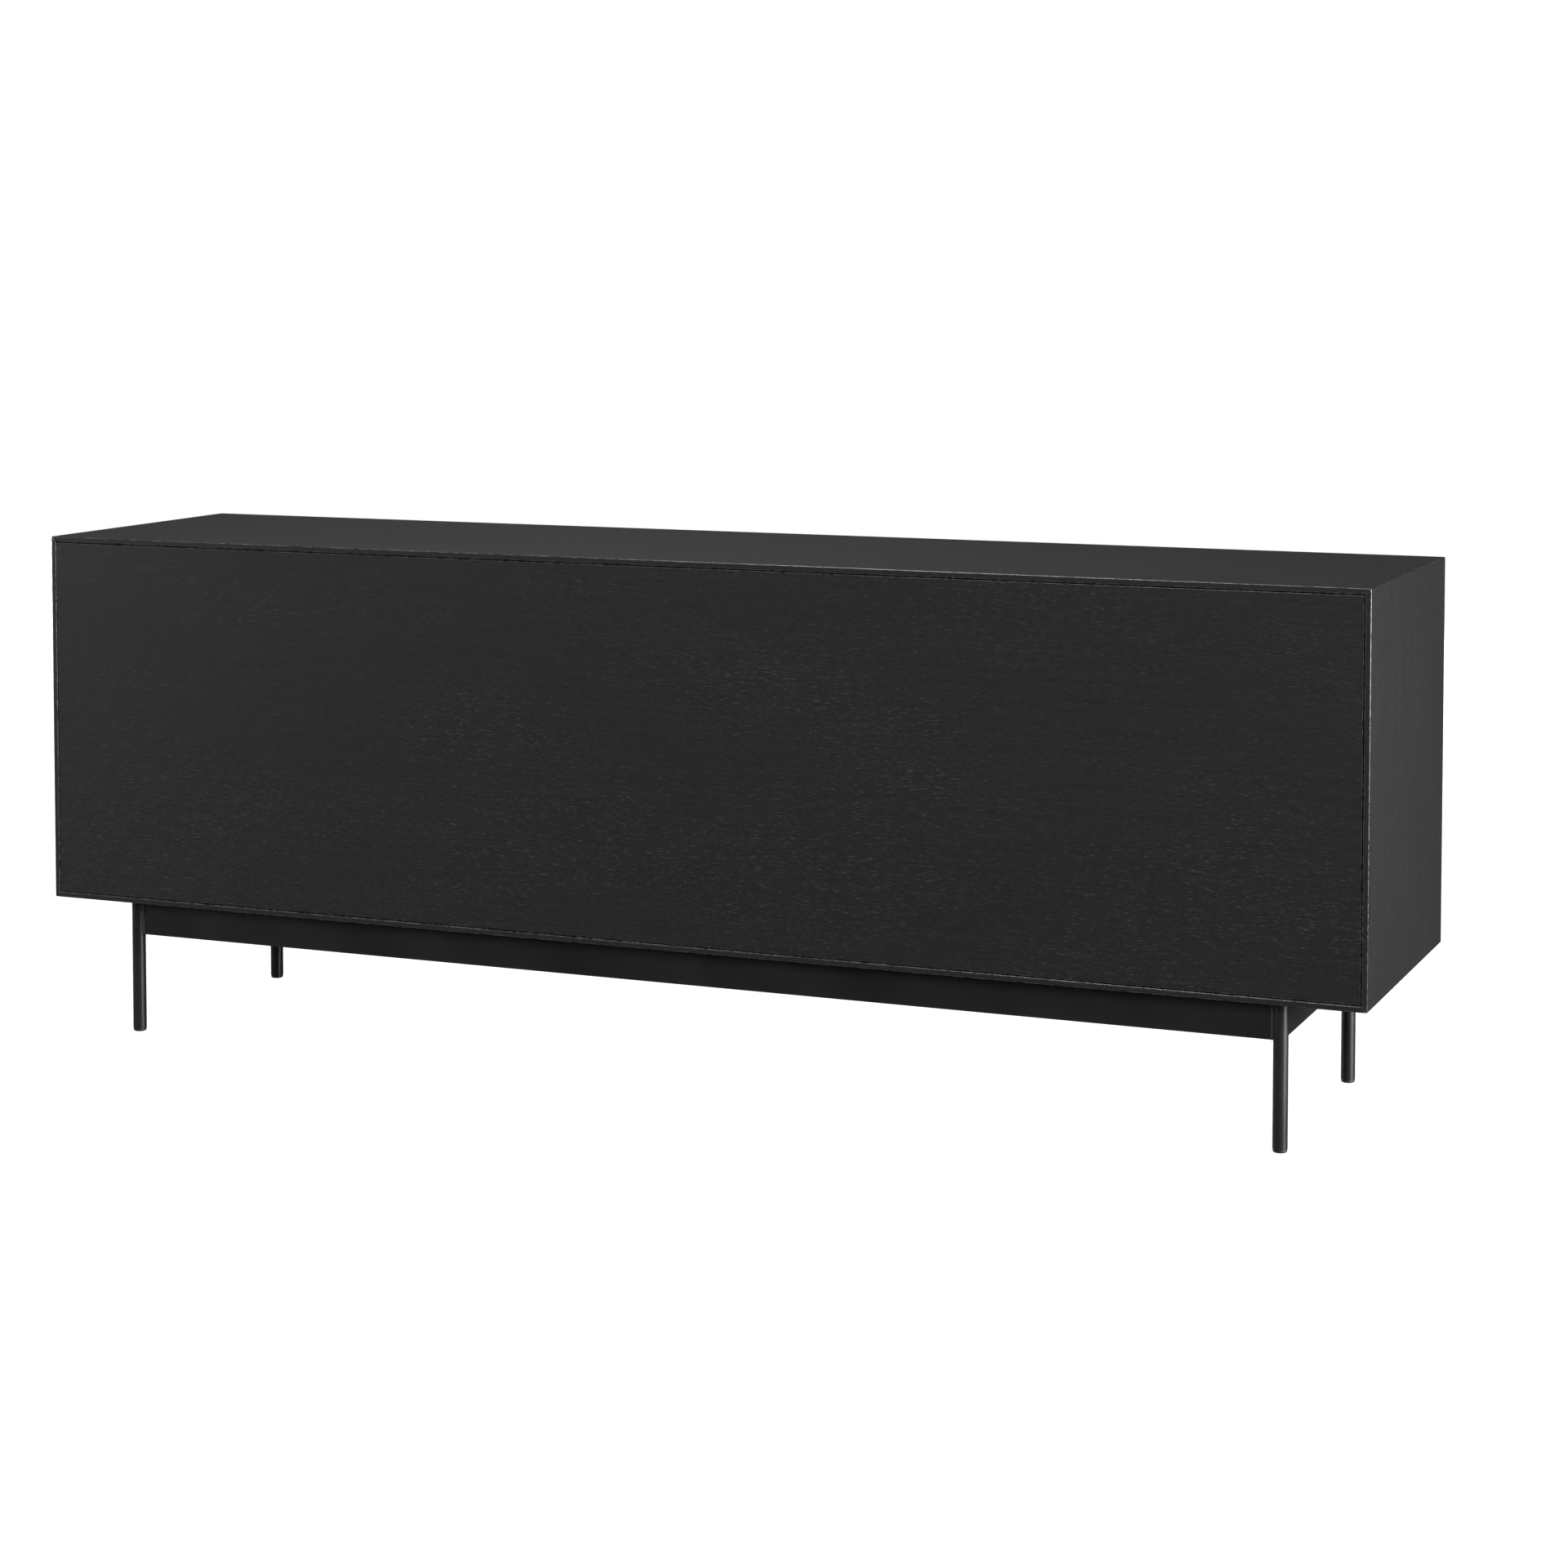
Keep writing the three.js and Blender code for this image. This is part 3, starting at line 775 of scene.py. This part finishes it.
side_beech = beech("lacquered_beech_sides", "Y", 5)
back_beech = beech("lacquered_beech_backs", "X", 9)
birch_ply = ply("birch_plywood", 2)
side_ease = 0.6 * mm
back_ease = 0.5 * mm
sheet_ease = 0.3 * mm
socket_play = 0.1 * mm
cam_heights = (0.25, 0.72)
cam_setback = 24 * mm
cam = template("cam", head_shape(radius=7.0 * mm, height=0.3 * mm, dome=0.3 * mm,
                                 recess=3.2 * mm, sides=24))
pin_head = template("pin_head", head_shape(radius=1.8 * mm, height=0.3 * mm, dome=0.5 * mm,
                                           recess=0.5 * mm, sides=10))
pin_spots = (-0.42, -0.14, 0.14, 0.42)
for row in rows:
    for column in columns:
        drawer = f"drawer_{row}_{column}"
        back_low, back_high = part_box(f"{drawer}_back")
        left_low, left_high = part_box(f"{drawer}_side_left")
        right_low, right_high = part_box(f"{drawer}_side_right")
        cam_points, cam_facing = [], []
        for side, low, high, inward in (("left", left_low, left_high, 1),
                                        ("right", right_low, right_high, -1)):
            shape = solid_from(f"{drawer}_side_{side}")
            for z in pin_heights(back_low.z, back_high.z):
                socket = wedge(low.x - mm, high.x + mm, back_low.y - socket_play,
                               back_high.y + mm, z, pin_tall + 2 * socket_play,
                               pin_short + 2 * socket_play)
                shape = subtract(shape, socket)
            piece_from(ease(shape, side_ease, 2), f"side_{row}_{column}_{side}", side_beech,
                       "drawer_beech", drawer, f"{drawer}_side_{side}")
            inner = high.x if inward > 0 else low.x
            for share in cam_heights:
                cam_points.append(Vector((inner, low.y + cam_setback,
                                          low.z + share * (high.z - low.z))))
                cam_facing.append((inward, 0, 0))
        back = back_with_pins(f"{drawer}_back", left_low.x, right_high.x)
        piece_from(ease(back, back_ease, 2), f"back_{row}_{column}", back_beech, "drawer_beech",
                   drawer, f"{drawer}_back")
        sheet = ease(solid_from(f"{drawer}_bottom"), sheet_ease, 1)
        piece_from(sheet, f"bottom_{row}_{column}", birch_ply, "birch_plywood", drawer,
                   f"{drawer}_bottom")
        grow(f"cams_{row}_{column}", cam_points, fixings,
             {"Fixing": cam, "Turn": half_turn, "Seed": 8, "Material": zinc},
             drawer, facing=cam_facing)
        bottom_low, bottom_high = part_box(f"{drawer}_bottom")
        middle = (bottom_low.x + bottom_high.x) / 2
        pin_points = [Vector((middle + share * (bottom_high.x - bottom_low.x),
                              (back_low.y + back_high.y) / 2, bottom_low.z))
                      for share in pin_spots]
        grow(f"pins_{row}_{column}", pin_points, fixings,
             {"Fixing": pin_head, "Turn": half_turn, "Seed": 9, "Material": zinc},
             drawer, facing=[(0, 0, -1)] * len(pin_points))
bpy.data.objects.remove(cam)
bpy.data.objects.remove(pin_head)

# ---------------------------------------------------------------------------------------------
# Floor and light: a pale floor lit from within, so that no shadow falls on it, and a white
# surround. Soft boxes at the back, both ends and overhead put broad highlights on the lacquer.
# Fills at the back, front and left end, and a wide ceiling light, only lift the tone and aren't
# mirrored.
floor_shape = bmesh.new()
floor_reach = 40.0
bmesh.ops.create_grid(floor_shape, x_segments=1, y_segments=1, size=floor_reach)
floor_mesh = bpy.data.meshes.new("floor")
floor_shape.to_mesh(floor_mesh)
floor_shape.free()
floor = bpy.data.objects.new("floor", floor_mesh)
bpy.context.scene.collection.objects.link(floor)
floor_material, floor_tree = new_material("pale_floor")
floor_shader = add_node(floor_tree, "ShaderNodeBsdfPrincipled", Base_Color=linear("#5c5c5c"),
                        Roughness=0.9, Emission_Color=linear("#ffffff"), Emission_Strength=0.94)
add_node(floor_tree, "ShaderNodeOutputMaterial", Surface=floor_shader.outputs["BSDF"])
floor_mesh.materials.append(floor_material)
# The floor neither lights the dresser nor shows in its lacquer.
floor.visible_diffuse = False
floor.visible_glossy = False

# The surround is white to look at, and nearly dark to the lacquer, which would mirror it.
world = bpy.data.worlds.new("studio")
bpy.context.scene.world = world
world.use_nodes = True
world.node_tree.nodes.clear()
studio_tree = world.node_tree
seen = add_node(studio_tree, "ShaderNodeLightPath").outputs["Is Camera Ray"]
dim = add_node(studio_tree, "ShaderNodeBackground", Color=white, Strength=0.016)
backdrop = add_node(studio_tree, "ShaderNodeBackground", Color=white, Strength=1.0)
surround = add_node(studio_tree, "ShaderNodeMixShader", Fac=seen,
                    _1=dim.outputs["Background"], _2=backdrop.outputs["Background"])
add_node(studio_tree, "ShaderNodeOutputWorld", Surface=surround.outputs["Shader"])
bpy.context.scene.view_settings.view_transform = "Standard"


def soft_light(name, place, size, power, mirrored=True, spread=True):
    """A rectangular soft light that faces the middle of the dresser.

    It shows in the lacquer if mirrored, and lights dull surfaces if spread.
    """
    data = bpy.data.lights.new(name, "AREA")
    data.shape = "RECTANGLE"
    data.size, data.size_y = size
    data.energy = power
    lamp = bpy.data.objects.new(name, data)
    bpy.context.scene.collection.objects.link(lamp)
    lamp.location = place
    facing = (cad_low + cad_high) / 2 - Vector(place)
    lamp.rotation_euler = facing.to_track_quat("-Z", "Y").to_euler()
    lamp.visible_glossy = mirrored
    lamp.visible_diffuse = spread
    lamp.visible_camera = False
    return lamp


# The left end's light is in two parts, because one lamp bright enough for the highlight on the
# lacquer would bleach the pale sides of an open drawer.
soft_light("back_softbox", (6.8, 4.7, 1.4), (2.0, 2.2), 100)
soft_light("left_end_softbox", (-4.5, 0.55, 0.9), (1.2, 1.6), 600, spread=False)
soft_light("left_end_fill", (-4.5, 0.55, 0.9), (1.2, 1.6), 215, mirrored=False)
soft_light("right_end_softbox", (4.8, -1.9, 0.5), (1.6, 1.0), 230)
soft_light("top_softbox", (0.6, 0.25, 3.8), (4.0, 0.35), 118)
soft_light("back_fill", (-1.5, 7.0, 3.0), (5.0, 3.0), 600, mirrored=False)
soft_light("front_fill", (1.0, -5.5, 1.7), (3.0, 2.0), 680, mirrored=False)
ceiling_data = bpy.data.lights.new("ceiling", "SUN")
ceiling_data.energy = 1.5
ceiling_data.angle = math.radians(110)
ceiling = bpy.data.objects.new("ceiling", ceiling_data)
bpy.context.scene.collection.objects.link(ceiling)
ceiling.visible_glossy = False
